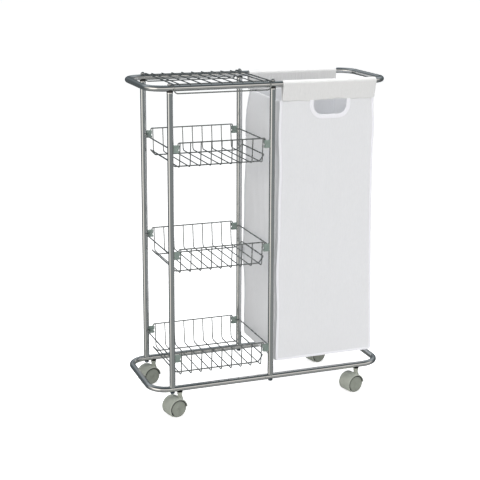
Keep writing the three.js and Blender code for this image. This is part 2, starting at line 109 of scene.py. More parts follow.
BAG_LEFT, BAG_RIGHT = 15.0, 297.0
BAG_LEFT_TOP, BAG_RIGHT_TOP = 20.0, 286.0
BAG_HALF_Y = 124.0
BAG_LOW = 112.5
BAG_SIDE_TOP = 813.5
BAG_CORNER_R = 5.0
SLEEVE_START, SLEEVE_END = 26.0, 288.0
SLEEVE_CLEAR = 1.2
SEAM_TAPE_HALF, HOLE_TAPE_HALF, TAPE_HALF_THICKNESS = 3.2, 5.5, 0.9
HOLE_LOW, HOLE_HIGH = (112.0, 771.5), (210.0, 811.5)
HOLE_LOW_R, HOLE_TOP_R = 27.0, 5.0

TRAIL = 15.0
WHEEL_R = 24.0
WHEEL_FACES = (6.3, 21.4)
FACE_R = 20.3
HOOD_R = 26.6
HOOD_WALL = 1.8
WEB_HALF = 5.6
HUB_R = 9.0
HOOD_FROM, HOOD_TO = math.radians(5), math.radians(225)

# ---------------------------------------------------------------- surfaces


def unit(vectors):
    """The same vectors with length one."""
    return vectors / np.maximum(np.linalg.norm(vectors, axis=-1, keepdims=True), 1e-12)


def grid_quads(rows, columns, join_rows=False, join_columns=False):
    """The quads of a grid of points; join_ closes it from the last row or column to the first."""
    r = np.arange(rows if join_rows else rows - 1)
    c = np.arange(columns if join_columns else columns - 1)
    i, j = np.meshgrid(r, c, indexing="ij")
    i2, j2 = (i + 1) % rows, (j + 1) % columns
    quads = [i * columns + j, i * columns + j2, i2 * columns + j2, i2 * columns + j]
    return np.stack(quads, -1).reshape(-1, 4)


def volume(points, quads):
    """The signed volume inside closed quads: the sum of a . (b x c + c x d) / 6."""
    a, b, c, d = (points[quads[:, k]] for k in range(4))
    return (a * (np.cross(b, c) + np.cross(c, d))).sum() / 6


def shell(points, join_rows=False, join_columns=True):
    """A grid of points as a closed shell whose faces point out. Rows that shrink to a point are poles."""
    rows, columns = points.shape[:2]
    flat = points.reshape(-1, 3)
    quads = grid_quads(rows, columns, join_rows, join_columns)
    middle = flat.mean(0)
    if volume(flat - middle, quads) < 0:
        quads = quads[:, ::-1]
    return flat, quads


def sheet_grid(points, flip=False, join_columns=False):
    """A grid of points as an open sheet, its faces turned over if flip is set."""
    rows, columns = points.shape[:2]
    quads = grid_quads(rows, columns, False, join_columns)
    return points.reshape(-1, 3), quads[:, ::-1] if flip else quads


def piece(name, shells, finish, body="frame", stands_for=(), sharp=38, uv=None):
    """Puts shells (points in millimetres, quads) into one mesh object that rides on a CAD body."""
    offsets = np.cumsum([0] + [len(points) for points, _ in shells[:-1]])
    points = np.concatenate([points for points, _ in shells]) * MM
    quads = np.concatenate([quads + k for (_, quads), k in zip(shells, offsets)])
    mesh = bpy.data.meshes.new(name)
    mesh.from_pydata(points.tolist(), [], quads.tolist())
    if uv is not None:
        layer = mesh.uv_layers.new(name="cloth")
        layer.data.foreach_set("uv", uv[quads.reshape(-1)].astype(np.float32).ravel())
    weld = bmesh.new()
    weld.from_mesh(mesh)
    bmesh.ops.remove_doubles(weld, verts=weld.verts, dist=1e-7)
    weld.to_mesh(mesh)
    weld.free()
    mesh.polygons.foreach_set("use_smooth", np.ones(len(mesh.polygons), bool))
    mesh.set_sharp_from_angle(angle=math.radians(sharp))
    mesh.materials.append(finish)
    made = bpy.data.objects.new(name, mesh)
    bpy.context.scene.collection.objects.link(made)
    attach(made, body)
    if stands_for:
        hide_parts(*stands_for)
    return made


def ring_profile(radius, sides):
    """A circle of points (side, up) round a path."""
    angle = np.arange(sides) * TAU / sides
    return np.stack([np.cos(angle), np.sin(angle)], 1) * radius


def strap_profile(half_width, half_thickness, sides=20, power=4.0):
    """A flat strip's section: |u/w|^p + |v/h|^p = 1, with its points spread evenly by angle."""
    angle = np.arange(sides) * TAU / sides
    c, s = np.cos(angle), np.sin(angle)
    u = np.sign(c) * np.abs(c) ** (2 / power) * half_width
    v = np.sign(s) * np.abs(s) ** (2 / power) * half_thickness
    return np.stack([u, v], 1)


def bent(corners, radius, steps=6, closed=False):
    """A path through corners whose bends are arcs, each tangent to both of its sides."""
    corners = np.array(corners, float)
    count = len(corners)
    path = [] if closed else [corners[:1]]
    for i in range(0 if closed else 1, count if closed else count - 1):
        here = corners[i]
        back, on = unit(corners[i - 1] - here), unit(corners[(i + 1) % count] - here)
        half = math.acos(np.clip(back @ on, -1, 1)) / 2
        if half > math.pi / 2 - 1e-3:
            path.append(here[None])
            continue
        reach = radius / math.tan(half)
        centre = here + unit(back + on) * radius / math.sin(half)
        start = here + back * reach - centre
        turn = math.pi - 2 * half
        across = -back * radius
        angle = np.linspace(0, turn, steps + 1)[:, None]
        path.append(centre + start * np.cos(angle) + across * np.sin(angle))
    if not closed:
        path.append(corners[-1:])
    return np.concatenate(path)


def carried(path, profile, up, closed=False, scale=None):
    """A profile carried along a path. At each station side = up x tangent and the profile's second
    axis = tangent x side; a point is path + side * u + second * v, times scale at that station."""
    path = np.array(path, float)
    if closed:
        tangent = unit(np.roll(path, -1, 0) - np.roll(path, 1, 0))
    else:
        steps = unit(np.diff(path, axis=0))
        tangent = unit(np.concatenate([steps[:1], steps[:-1] + steps[1:], steps[-1:]]))
    side = unit(np.cross(np.array(up, float), tangent))
    second = np.cross(tangent, side)
    size = np.ones(len(path)) if scale is None else np.asarray(scale, float)
    u = profile[None, :, 0] * size[:, None]
    v = profile[None, :, 1] * size[:, None]
    points = path[:, None] + side[:, None] * u[..., None] + second[:, None] * v[..., None]
    if not closed:
        ends = [np.repeat(points[k].mean(0)[None, None], len(profile), 1) for k in (0, -1)]
        points = np.concatenate([ends[0], points, ends[1]])
    return shell(points, join_rows=closed)


def turned(profile, sides=40, corner=None):
    """A surface of revolution about Z: (r cos a, r sin a, z). corner(a, r, z) may change the radius."""
    profile = np.array(profile, float)
    angle = np.arange(sides) * TAU / sides
    r = np.repeat(profile[:, :1], sides, 1)
    z = np.repeat(profile[:, 1:2], sides, 1)
    if corner is not None:
        r = corner(angle[None], r, z)
    points = np.stack([r * np.cos(angle), r * np.sin(angle), z], -1)
    return shell(points)


def rounded(profile, radius, steps=4):
    """A profile (r, z) with its corners rounded, as bent() does on a path."""
    flat = np.array([[r, 0.0, z] for r, z in profile])
    return bent(flat, radius, steps)[:, [0, 2]]


def hexagon(across):
    """Limits a radius to a hexagon's flats: r <= across / 2 / cos(a to the nearest flat)."""

    def corner(angle, r, z):
        turn = (angle + math.pi / 6) % (math.pi / 3) - math.pi / 6
        return np.minimum(r, across / 2 / np.cos(turn))

    return corner


def slab(outline, thickness, edge, steps=4):
    """A flat piece with rounded edges, its outline in (x, z) and its thickness along Y. Rows run from one
    face's middle out over the edge to the other's; each is the outline shrunk towards its middle."""
    middle = outline.mean(0)
    reach = np.linalg.norm(outline - middle, axis=1).mean()
    angle = np.linspace(0, math.pi / 2, steps + 1)
    inset = edge * (1 - np.sin(angle))
    depth = thickness / 2 - edge * (1 - np.cos(angle))
    shrink = np.concatenate([[0, 0.5], 1 - inset / reach, 1 - inset[::-1][1:] / reach, [0.5, 0]])
    y = np.concatenate([[thickness / 2] * 2, depth, -depth[::-1][1:], [-thickness / 2] * 2])
    xz = middle + (outline - middle)[None] * shrink[:, None, None]
    points = np.stack([xz[..., 0], np.repeat(y[:, None], len(outline), 1), xz[..., 1]], -1)
    return shell(points)


def moved(part, x=0.0, y=0.0, z=0.0):
    """The same shell, shifted."""
    points, quads = part
    return points + np.array([x, y, z]), quads


def swung(part, angle, x, y):
    """The same shell turned about Z by angle and then shifted to (x, y)."""
    points, quads = part
    c, s = math.cos(angle), math.sin(angle)
    turned_xy = points[:, :2] @ np.array([[c, s], [-s, c]])
    return np.column_stack([turned_xy + [x, y], points[:, 2]]), quads


def nugget(at, length, height, along="x"):
    """A weld bead: a small rounded lump, longer along one axis."""
    lump = turned([(0, -1), (0.7, -0.72), (1, 0), (0.7, 0.72), (0, 1)], 8)
    size = {"x": (length, height, height), "y": (height, length, height)}[along]
    return lump[0] * np.array(size) + np.array(at, float), lump[1]


# ---------------------------------------------------------------- finishes


def new_finish(name):
    """A material with its nodes, its Principled shader and Object coordinates."""
    made = bpy.data.materials.new(name)
    made.use_nodes = True
    tree = made.node_tree
    shader = tree.nodes["Principled BSDF"]
    where = tree.nodes.new("ShaderNodeTexCoord").outputs["Object"]
    return made, tree, shader, where


def noise(tree, where, scale, detail=3.0, roughness=0.55, stretch=None):
    """A noise pattern at a scale in bumps per metre, stretched along an axis if asked."""
    if stretch is not None:
        mapping = tree.nodes.new("ShaderNodeMapping")
        mapping.inputs["Scale"].default_value = stretch
        tree.links.new(where, mapping.inputs["Vector"])
        where = mapping.outputs["Vector"]
    made = tree.nodes.new("ShaderNodeTexNoise")
    made.inputs["Scale"].default_value = scale
    made.inputs["Detail"].default_value = detail
    made.inputs["Roughness"].default_value = roughness
    tree.links.new(where, made.inputs["Vector"])
    return made.outputs["Fac"]


def ramp(tree, factor, stops):
    """A colour ramp from (position, colour) stops; a number stands for a grey."""
    made = tree.nodes.new("ShaderNodeValToRGB")
    elements = made.color_ramp.elements
    elements[0].position, elements[1].position = stops[0][0], stops[-1][0]
    for position, _ in stops[1:-1]:
        elements.new(position)
    for element, (_, colour) in zip(elements, stops):
        element.color = (colour,) * 3 + (1,) if isinstance(colour, (int, float)) else (*colour, 1)
    tree.links.new(factor, made.inputs["Fac"])
    return made.outputs["Color"]


def bump(tree, shader, height, strength, distance, before=None):
    """Adds a bump to the shader's normal, over an earlier bump if one is given."""
    made = tree.nodes.new("ShaderNodeBump")
    made.inputs["Strength"].default_value = strength
    made.inputs["Distance"].default_value = distance
    tree.links.new(height, made.inputs["Height"])
    if before is not None:
        tree.links.new(before, made.inputs["Normal"])
    tree.links.new(made.outputs["Normal"], shader.inputs["Normal"])
    return made.outputs["Normal"]


def linear(hexcode):
    """A colour written as RRGGBB, as linear light."""
    values = [int(hexcode[i : i + 2], 16) / 255 for i in (0, 2, 4)]
    return tuple(v / 12.92 if v <= 0.04045 else ((v + 0.055) / 1.055) ** 2.4 for v in values)


def metal_finish(name, dark, light, rough_low, rough_high, scratch):
    """Plated metal: a colour that drifts a little, roughness in soft patches, and fine drawing marks."""
    made, tree, shader, where = new_finish(name)
    shader.inputs["Metallic"].default_value = 1.0
    drift = noise(tree, where, 26.0, 4.0)
    tree.links.new(ramp(tree, drift, [(0.32, dark), (0.68, light)]), shader.inputs["Base Color"])
    patches = noise(tree, where, 95.0, 5.0)
    rough = ramp(tree, patches, [(0.3, rough_low), (0.75, rough_high)])
    tree.links.new(rough, shader.inputs["Roughness"])
    marks = noise(tree, where, 900.0, 2.0)
    bump(tree, shader, marks, scratch, 0.0002)
    return made


def plastic_finish(name, dark, light, roughness, grain=0.12):
    """Moulded plastic: a faint mottle in its colour, fine moulded grain and uneven gloss."""
    made, tree, shader, where = new_finish(name)
    mottle = noise(tree, where, 60.0, 4.0)
    tree.links.new(ramp(tree, mottle, [(0.3, dark), (0.7, light)]), shader.inputs["Base Color"])
    gloss = noise(tree, where, 140.0, 3.0)
    stops = [(0.3, roughness - 0.05), (0.7, roughness + 0.07)]
    tree.links.new(ramp(tree, gloss, stops), shader.inputs["Roughness"])
    grit = noise(tree, where, 2600.0, 2.0)
    bump(tree, shader, grit, grain, 0.0003)
    return made


def cloth_finish(name, dark, light, weave_scale=850.0, weave_depth=0.06, soft=0.25, painted_glow=0.12):
    """Plain-woven cloth on the piece's own UVs, in metres: warp and weft threads as two crossed
    waves, slubs that lighten and darken them, and a faint painted glow, emission that stands in for light
    through the thin cloth."""
    made, tree, shader, where = new_finish(name)
    threads = tree.nodes.new("ShaderNodeUVMap")
    threads.uv_map = "cloth"
    heights = []
    for direction in ("X", "Y"):
        wave = tree.nodes.new("ShaderNodeTexWave")
        wave.wave_type = "BANDS"
        wave.bands_direction = direction
        wave.inputs["Scale"].default_value = weave_scale
        wave.inputs["Distortion"].default_value = 0.6
        wave.inputs["Detail"].default_value = 1.0
        tree.links.new(threads.outputs["UV"], wave.inputs["Vector"])
        heights.append(wave.outputs["Fac"])
    weave = tree.nodes.new("ShaderNodeMath")
    weave.operation = "MAXIMUM"
    tree.links.new(heights[0], weave.inputs[0])
    tree.links.new(heights[1], weave.inputs[1])
    slub = noise(tree, where, 420.0, 3.0, stretch=(1.0, 1.0, 0.18))
    tone = ramp(tree, slub, [(0.25, dark), (0.75, light)])
    tree.links.new(tone, shader.inputs["Base Color"])
    shader.inputs["Roughness"].default_value = 0.92
    # Painted glow: a faint emission that stands in for light coming through the thin cloth.
    shader.inputs["Emission Color"].default_value = (0.97, 0.98, 1.0, 1)
    shader.inputs["Emission Strength"].default_value = painted_glow
    shader.inputs["Sheen Weight"].default_value = soft
    shader.inputs["Sheen Roughness"].default_value = 0.5
    fuzz = noise(tree, where, 1500.0, 2.0)
    first = bump(tree, shader, weave.outputs["Value"], weave_depth, 0.0002)
    bump(tree, shader, fuzz, 0.06, 0.0002, first)
    return made


CHROME = metal_finish("bright_chrome", (0.68, 0.69, 0.69), (0.74, 0.75, 0.75), 0.03, 0.07, 0.01)
BOLT_STEEL = metal_finish("bolt_steel", (0.42, 0.44, 0.45), (0.55, 0.56, 0.57), 0.2, 0.34, 0.08)
DARK_STEEL = metal_finish("dark_bolt", (0.16, 0.20, 0.24), (0.24, 0.28, 0.32), 0.3, 0.45, 0.1)
WIRE = metal_finish("wire_chrome", (0.33, 0.35, 0.35), (0.42, 0.44, 0.44), 0.22, 0.36, 0.1)
CLIP = plastic_finish("clip_plastic", linear("7f8e88"), linear("93a19b"), 0.42)
BLACK = plastic_finish("black_plastic", (0.012, 0.013, 0.014), (0.022, 0.023, 0.025), 0.42)
HOUSING = plastic_finish("castor_plastic", linear("abb0a6"), linear("babeb4"), 0.4, 0.08)
WHEEL = plastic_finish("wheel_plastic", linear("90958b"), linear("9da298"), 0.55, 0.2)
# Each cloth below gets a faint painted glow in place of light through the cloth.
CLOTH = cloth_finish("woven_cloth", linear("e0e1e4"), linear("e5e6e9"), painted_glow=0.06)
SLEEVE = cloth_finish("sleeve_cloth", linear("dfdfdf"), linear("e5e5e5"), painted_glow=0.04)
TAPE = cloth_finish("binding_tape", linear("e8e8ee"), linear("f0f0f5"), 1100.0, 0.2, 0.2, painted_glow=0.1)
BOARD = plastic_finish("base_board", linear("cfcfca"), linear("dcdcd8"), 0.8, 0.3)

# ---------------------------------------------------------------- rings, posts and bolts


def ring_half(side, z):
    """One bent half of a ring: a round tube carried round a U, its cut ends slightly eased."""
    seam = SEAM_X + side * SEAT_GAP / 2
    end = side * RING_HALF_X
    side_y = RING_HALF_Y
    corners = [(seam, -side_y, z), (end, -side_y, z), (end, side_y, z), (seam, side_y, z)]
    path = bent(corners, RING_CORNER_R, 18)
    ease = np.array([0.0, 0.35, 0.9, 3.0])
    start = path[0] + side * np.array([1.0, 0, 0]) * ease[:, None]
    finish = path[-1] + side * np.array([1.0, 0, 0]) * ease[::-1, None]
    path = np.concatenate([start, path[1:-1], finish])
    scale = np.ones(len(path))
    scale[:3] = (0.93, 0.985, 1.0)
    scale[-3:] = (1.0, 0.985, 0.93)
    return carried(path, ring_profile(TUBE_R, 32), (0, 0, 1), scale=scale)


for level, height in (("top", TOP_RING_Z), ("bottom", LOW_RING_Z)):
    for hand, side in (("left", -1), ("right", 1)):
        node = f"{level}_ring_{hand}"
        piece(f"{node}_tube", [ring_half(side, height)], CHROME, stands_for=[node])


def post_tube(sides=36):
    """A tube whose foot is coped to the ring below: z = ring + sqrt(room^2 - (r sin a)^2)."""
    angle = np.arange(sides) * TAU / sides
    room = TUBE_R + SEAT_GAP
    foot = LOW_RING_Z + np.sqrt(np.maximum(room**2 - (TUBE_R * np.sin(angle)) ** 2, 0))
    rows = []
    full = (TUBE_R, POST_TOP_EASE)
    foot_edge = [(0.0, 1.0), (TUBE_R - 0.9, 0.6), (TUBE_R - 0.25, 0.0), (TUBE_R, 0.3), full]
    top_edge = [full, (TUBE_R, 0.5), (TUBE_R - 0.15, 0.15), (TUBE_R - 0.5, 0.0), (0.0, 0.0)]
    for radius, lift in foot_edge:
        rows.append((np.full(sides, radius), foot + lift))
    for radius, drop in top_edge:
        rows.append((np.full(sides, radius), np.full(sides, POST_TOP_Z - drop)))
    r, z = (np.array([row[k] for row in rows]) for k in (0, 1))
    return shell(np.stack([r * np.cos(angle), r * np.sin(angle), z], -1))


def saddle_head(sides=36):
    """The saddle's head: a short turned block whose top is a cradle, z = ring - sqrt(room^2 - y^2)."""
    room = TUBE_R + SEAT_GAP
    radius = TUBE_R + SADDLE_LIP
    angle = np.arange(sides) * TAU / sides
    outer = [(0.0, 0.0), (radius - 0.5, 0.0), (radius - 0.12, 0.15), (radius, 0.5)]
    rows = [(np.full(sides, r), np.full(sides, POST_TOP_Z + SEAT_GAP + lift)) for r, lift in outer]
    for share in (1.0, 0.97, 0.85, 0.65, 0.4, 0.2, 0.0):
        y = radius * share * np.sin(angle)
        cradle = TOP_RING_Z - np.sqrt(np.maximum(room**2 - y**2, 0))
        top = np.minimum(cradle, TOP_RING_Z - SADDLE_DROP)
        rows.append((np.full(sides, radius * share), top - (0.4 if share == 1.0 else 0.0)))
    r, z = (np.array([row[k] for row in rows]) for k in (0, 1))
    return shell(np.stack([r * np.cos(angle), r * np.sin(angle), z], -1))


def domed_nut():
    """A cap nut on the ring: a hexagon skirt, a step and a dome that closes on its axis."""
    seat = TOP_RING_Z + TUBE_R + SEAT_GAP / 2
    dome = [(4.7 * math.cos(a), seat + 2.6 + 3.9 * math.sin(a)) for a in np.linspace(0, math.pi / 2, 9)]
    skirt = rounded([(0, seat), (6.1, seat), (6.1, seat + 2.4), (4.7, seat + 2.6)], 0.35, 2)
    profile = np.concatenate([skirt, dome[:-1], [(0, dome[-1][1])]])
    return turned(profile, 48, hexagon(11.0))


def foot_head():
    """The bolt's head under the bottom ring: a hexagon with a chamfered rim."""
    seat = LOW_RING_Z - TUBE_R - SEAT_GAP / 2
    profile = [(0, seat - 4.1), (5.2, seat - 4.1), (6.2, seat - 3.4), (6.2, seat), (0, seat)]
    return turned(rounded(profile, 0.25, 2), 48, hexagon(10.6))


for name, (x, y) in POSTS.items():
    for node, part, look, finish, slot in (
        (f"post_{name}", post_tube(), "tube", CHROME, "chrome_tube"),
        (f"saddle_{name}", saddle_head(), "head", BLACK, "black_plastic"),
        (f"domed_bolt_{name}", domed_nut(), "head", BOLT_STEEL, "chrome_tube"),
        (f"foot_bolt_{name}", foot_head(), "head", DARK_STEEL, "black_plastic"),
    ):
        piece(f"{node}_{look}", [moved(part, x, y)], finish, stands_for=[node])

# ---------------------------------------------------------------- baskets and shelf
ROD_XS = [BAY_X + (i - (ROD_COUNT - 1) / 2) * ROD_PITCH for i in range(ROD_COUNT)]


def rim_loop():
    """The rim at height 0: along both sides, dipping by the posts and round the two ends."""
    corners = []
    for sx, sy in ((-1, -1), (1, -1), (1, 1), (-1, 1)):
        post_x = BAY_X + sx * abs(BAY_X)
        run = [
            (BAY_X + sx * RIM_END_X, sy * RING_HALF_Y, 0),
            (BAY_X + sx * (RIM_END_X + RIM_SLOPE_X), sy * RING_HALF_Y, -RIM_DIP),
            (post_x - sx * RIM_ROUND_POST, sy * RING_HALF_Y, -RIM_DIP),
            (post_x, sy * (RING_HALF_Y - RIM_ROUND_POST), -RIM_DIP),
        ]
        corners += run if sx * sy < 0 else run[::-1]
    return carried(bent(corners, RIM_BEND_R, 5, closed=True), ring_profile(RIM_R, 12), (0, 0, 1), closed=True)


def floor_loop():
    """The lower loop at height 0: floor wires along the sides that rise into a guard at each end."""
    corners = []
    for sx, sy in ((-1, -1), (1, -1), (1, 1), (-1, 1)):
        run = [
            (BAY_X + sx * FLOOR_HALF_X, sy * FLOOR_HALF_Y, -FLOOR_DROP),
            (BAY_X + sx * GUARD_HALF_X, sy * GUARD_HALF_Y, -GUARD_DROP),
        ]
        corners += run if sx * sy < 0 else run[::-1]
    path = bent(corners, FLOOR_BEND_R, 6, closed=True)
    return carried(path, ring_profile(RIM_R, 12), (0, 0, 1), closed=True)


def basket_rod(x):
    """A U-shaped rod at height 0: down from the front rim, over the floor wires and up to the back rim."""
    low = -FLOOR_DROP + RIM_R + ROD_R * 0.55
    corners = [(x, -RING_HALF_Y, 0.8), (x, -ROD_FOOT_Y, low), (x, ROD_FOOT_Y, low), (x, RING_HALF_Y, 0.8)]
    return carried(bent(corners, ROD_BEND_R, 7), ring_profile(ROD_R, 10), (1, 0, 0))


def basket(z):
    """Rim, floor loop, nine rods and the welds where they meet."""
    parts = [rim_loop(), floor_loop()]
    for x in ROD_XS:
        parts.append(basket_rod(x))
        for side in (-1, 1):
            parts.append(nugget((x, side * RING_HALF_Y, 0.2), 2.3, 1.9))
            parts.append(nugget((x, side * FLOOR_HALF_Y, -FLOOR_DROP + 1.4), 2.3, 1.8))
    for y, low in ((RING_HALF_Y, 0.0), (FLOOR_HALF_Y, -FLOOR_DROP)):
        parts += [nugget((WELD_X, side * y, low), 3.0, WELD_TOP + 0.1) for side in (-1, 1)]
    return [moved(part, z=z) for part in parts]


for level, height in RIM_HEIGHTS.items():
    piece(f"basket_{level}_wires", basket(height), WIRE, stands_for=[f"basket_{level}"],
          sharp=60)


def shelf():
    """A bent outer frame that hooks over the ring, two long rods inside it and nine cross rods."""
    over = TUBE_R + SHELF_FRAME_R + SEAT_GAP
    reach, top = RING_HALF_Y + over, TOP_RING_Z + over
    rod_z = TOP_RING_Z + TUBE_R + ROD_R
    inside = RING_HALF_Y - TUBE_R - 2.7
    loop = []
    for sx in (-1, 1):
        x = BAY_X + sx * SHELF_HALF_X
        end = [(x, -reach, SHELF_RAIL_Z), (x, -reach, top), (x, reach, top), (x, reach, SHELF_RAIL_Z)]
        loop += end if sx > 0 else end[::-1]
    path = bent(loop, over, 6, closed=True)
    slanting = (0.93, 0.36, 0.1)
    parts = [carried(path, ring_profile(SHELF_FRAME_R, 12), slanting, closed=True)]
    for x in ROD_XS:
        path = [(x, -RING_HALF_Y - 3, rod_z), (x, RING_HALF_Y + 3, rod_z)]
        parts.append(carried(path, ring_profile(ROD_R, 10), (0, 0, 1)))
        parts += [nugget((x, side * inside, rod_z - ROD_R), 2.0, 1.6) for side in (-1, 1)]
    for side in (-1, 1):
        z = rod_z - 1.35
        path = [(BAY_X - SHELF_HALF_X, side * inside, z), (BAY_X + SHELF_HALF_X, side * inside, z)]
        parts.append(carried(path, ring_profile(ROD_R + 0.15, 10), (0, 0, 1)))
        parts.append(nugget((WELD_X, side * reach, SHELF_RAIL_Z), 3.0, SHELF_FRAME_R + 0.3))
    return parts


piece("top_shelf_wires", shelf(), WIRE, stands_for=["top_shelf"], sharp=60)


def clip(sx):
    """A plate beside a post, hollowed to the tube: |x| >= sqrt(room^2 - y^2). Its free edge has a notch."""
    far, near, half = TUBE_R + CLIP_LENGTH, 6.0, CLIP_HALF_HEIGHT
    angle = np.linspace(math.radians(75), math.radians(-75), 9)
    notch_x = far - CLIP_NOTCH_R * np.cos(angle)
    notch_z = CLIP_NOTCH_Z + CLIP_NOTCH_R * np.sin(angle)
    notch = np.stack([notch_x, np.zeros(9), notch_z], 1)
    start, end = (far, 0, CLIP_NOTCH_Z + 1), (far, 0, CLIP_NOTCH_Z - 1)
    edge = bent([start, (far, 0, half), (near, 0, half), (near, 0, -half), (far, 0, -half), end], 1.8, 5)
    outline = np.concatenate([edge[1:-1], notch[::-1]])[:, [0, 2]]
    points, quads = slab(outline, CLIP_THICKNESS, 1.6)
    room = TUBE_R + 0.15
    points[:, 0] = np.maximum(points[:, 0], np.sqrt(room**2 - points[:, 1] ** 2))
    points[:, 0] *= -sx
    return [(points, quads if sx < 0 else quads[:, ::-1])]


for level, height in RIM_HEIGHTS.items():
    for name, (x, y) in POSTS.items():
        side = -1 if name.startswith("left") else 1
        parts = [moved(part, x, y, height - RIM_DIP - 1) for part in clip(side)]
        node = f"clip_{level}_{name}"
        piece(f"{node}_body", parts, CLIP, stands_for=[node])

# ---------------------------------------------------------------- bag


def bag_sides(z):
    """The bag's left and right side at a height: straight lines from the bottom to the top seam."""
    share = np.clip((z - BAG_LOW) / (BAG_SIDE_TOP - BAG_LOW), 0, 1)
    return BAG_LEFT + (BAG_LEFT_TOP - BAG_LEFT) * share, BAG_RIGHT + (BAG_RIGHT_TOP - BAG_RIGHT) * share


def creases(u, v, seed, count=9):
    """Soft creases: a sum of slanting sines with seeded slopes, -1 to 1."""
    dice = np.random.default_rng(seed)
    total = np.zeros(np.broadcast(u, v).shape)
    for _ in range(count):
        a, b = dice.uniform(1.5, 7.0), dice.uniform(1.0, 5.0)
        total = total + np.sin(a * u * TAU + b * v * TAU * dice.choice([-1, 1]) + dice.uniform(0, TAU))
    return total / count


def edge_wave(ax, ay, t):
    """How far the bag's upright edges stray: slow sines of the height t, zero at the bottom seam. The back
    left edge draws in near the top, by 12 exp((t - 1) / 0.06), and the right edge swells below its top."""
    ease = np.clip(t * 6, 0, 1) * np.clip((1 - t) * 9, 0, 1)
    right = np.clip(ax, 0, 1) * (4.5 * np.exp(-(((t - 0.9) / 0.06) ** 2)) - 3.0 * np.sin(math.pi * t) ** 2)
    left = np.clip(-ax, 0, 1) * (1.6 * np.sin(t * 11.0 + 0.6) - 1.2 * np.sin(t * 23.0))
    back_left = np.clip(-ax, 0, 1) * np.clip((ay + 1) / 2, 0, 1)
    back = back_left * (12.0 * np.exp((t - 1) / 0.06) - 3.5 * np.sin(math.pi * t) ** 2)
    return (right + left) * ease + back


def bag_loft(rows=150):
    """The body as a loft: at each height a rounded rectangle between the side lines. The long panels
    belly out low down and the side panels draw in, both easing to nothing at the seams and the top."""
    corner = BAG_CORNER_R
    runs = []
    front, end = 72, 44
    across, along = np.linspace(-1, 1, front), np.linspace(-1, 1, end)
    quarter = np.linspace(0, math.pi / 2, 5)[1:-1]
    sides = [
        (across, -np.ones(front), 0, -1, -math.pi / 2),
        (np.ones(end), along, 1, 0, 0.0),
        (across[::-1], np.ones(front), 0, 1, math.pi / 2),
        (-np.ones(end), along[::-1], -1, 0, math.pi),
    ]
    for ax, ay, bx, by, start in sides:
        runs.append(np.stack([ax, ay, np.full(len(ax), bx), np.full(len(ax), by)], 1))
        turn = start + quarter
        tip = np.tile([ax[-1], ay[-1]], (len(turn), 1))
        runs.append(np.column_stack([tip, np.cos(turn), np.sin(turn)]))
    ring = np.concatenate(runs)
    ax, ay, bx, by = ring.T
    t = np.linspace(0, 1, rows)
    z = BAG_LOW + t * (BAG_SIDE_TOP - BAG_LOW)
    left, right = bag_sides(z)
    middle, half = (left + right)[:, None] / 2, (right - left)[:, None] / 2
    x = middle + ax * (half - corner) + corner * bx
    y = ay * (BAG_HALF_Y - corner) + corner * by * np.ones((rows, 1))
    long_panel, short_panel = np.abs(by) * (1 - ax**2), np.abs(bx) * (1 - ay**2)
    low = np.sin(np.clip(t, 0, 1) * math.pi)[:, None] ** 0.8
    belly = (0.55 + 0.6 * (1 - t[:, None])) * low
    wave = creases(ax[None] * 0.5 + 0.3 * by, t[:, None], 3) * low
    y = y + np.sign(by) * long_panel * (1.2 * belly + 1.6 * wave)
    wave = creases(ay[None] * 0.5 + 0.2 * bx, t[:, None], 8) * low
    x = x + np.sign(bx) * short_panel * (-4.0 * low + 2.6 * wave)
    x = x + edge_wave(ax, ay, t[:, None])
    points = np.stack([x, y, np.repeat(z[:, None], len(ax), 1)], -1)
    shrink = np.array([0.0, 0.25, 0.5, 0.75, 0.92, 0.985])[:, None, None]
    centre = np.array([(BAG_LEFT + BAG_RIGHT) / 2, 0, BAG_LOW])
    floor = centre + (points[:1] - centre) * shrink
    step = np.linalg.norm(np.diff(points, axis=1, append=points[:, :1]), axis=-1).mean(0)
    around = np.cumsum(step) - step
    u = np.repeat(around[None], rows + len(shrink), 0)
    up = np.concatenate([(shrink[:, 0, 0] - 1) * 124, z - BAG_LOW])
    uv = np.stack([u, np.repeat(up[:, None], len(ax), 1)], -1) * MM
    return np.concatenate([floor, points]), uv


def outline_distance(x, z):
    """How far a point of the front panel is outside the hand hole: a box with rounder lower corners."""
    cx, cz = (HOLE_LOW[0] + HOLE_HIGH[0]) / 2, (HOLE_LOW[1] + HOLE_HIGH[1]) / 2
    round_r = np.where(z < cz + 8, HOLE_LOW_R, HOLE_TOP_R)
    qx = np.abs(x - cx) - (HOLE_HIGH[0] - HOLE_LOW[0]) / 2 + round_r
    qz = np.abs(z - cz) - (HOLE_HIGH[1] - HOLE_LOW[1]) / 2 + round_r
    outside = np.hypot(np.maximum(qx, 0), np.maximum(qz, 0))
    return np.minimum(np.maximum(qx, qz), 0) + outside - round_r


def bag_body():
    """The lofted body with the hand hole: quads inside it are dropped and its rim points drawn to it."""
    points, uv = bag_loft()
    flat, quads = sheet_grid(points, join_columns=True)
    middle = flat[quads].mean(1)
    inside = (outline_distance(middle[:, 0], middle[:, 2]) < 0) & (middle[:, 1] < -BAG_HALF_Y * 0.8)
    kept, gone = quads[~inside], quads[inside]
    rim = np.intersect1d(kept, gone)
    for _ in range(3):
        x, z = flat[rim, 0], flat[rim, 2]
        d = outline_distance(x, z)
        gx = (outline_distance(x + 0.1, z) - outline_distance(x - 0.1, z)) / 0.2
        gz = (outline_distance(x, z + 0.1) - outline_distance(x, z - 0.1)) / 0.2
        flat[rim, 0] -= d * gx
        flat[rim, 2] -= d * gz
    return (flat, kept), uv.reshape(-1, 2)


def thicken(made, thickness, offset=-1.0):
    """Gives a sheet its wall with a Solidify modifier."""
    wall = made.modifiers.new("wall", "SOLIDIFY")
    wall.thickness = thickness * MM
    wall.offset = offset
    wall.use_even_offset = True
    return made


body_shell, body_uv = bag_body()
bag_cloth = piece("laundry_bag_cloth", [body_shell], CLOTH, stands_for=["laundry_bag"],
                  uv=body_uv, sharp=60)
thicken(bag_cloth, 1.2)


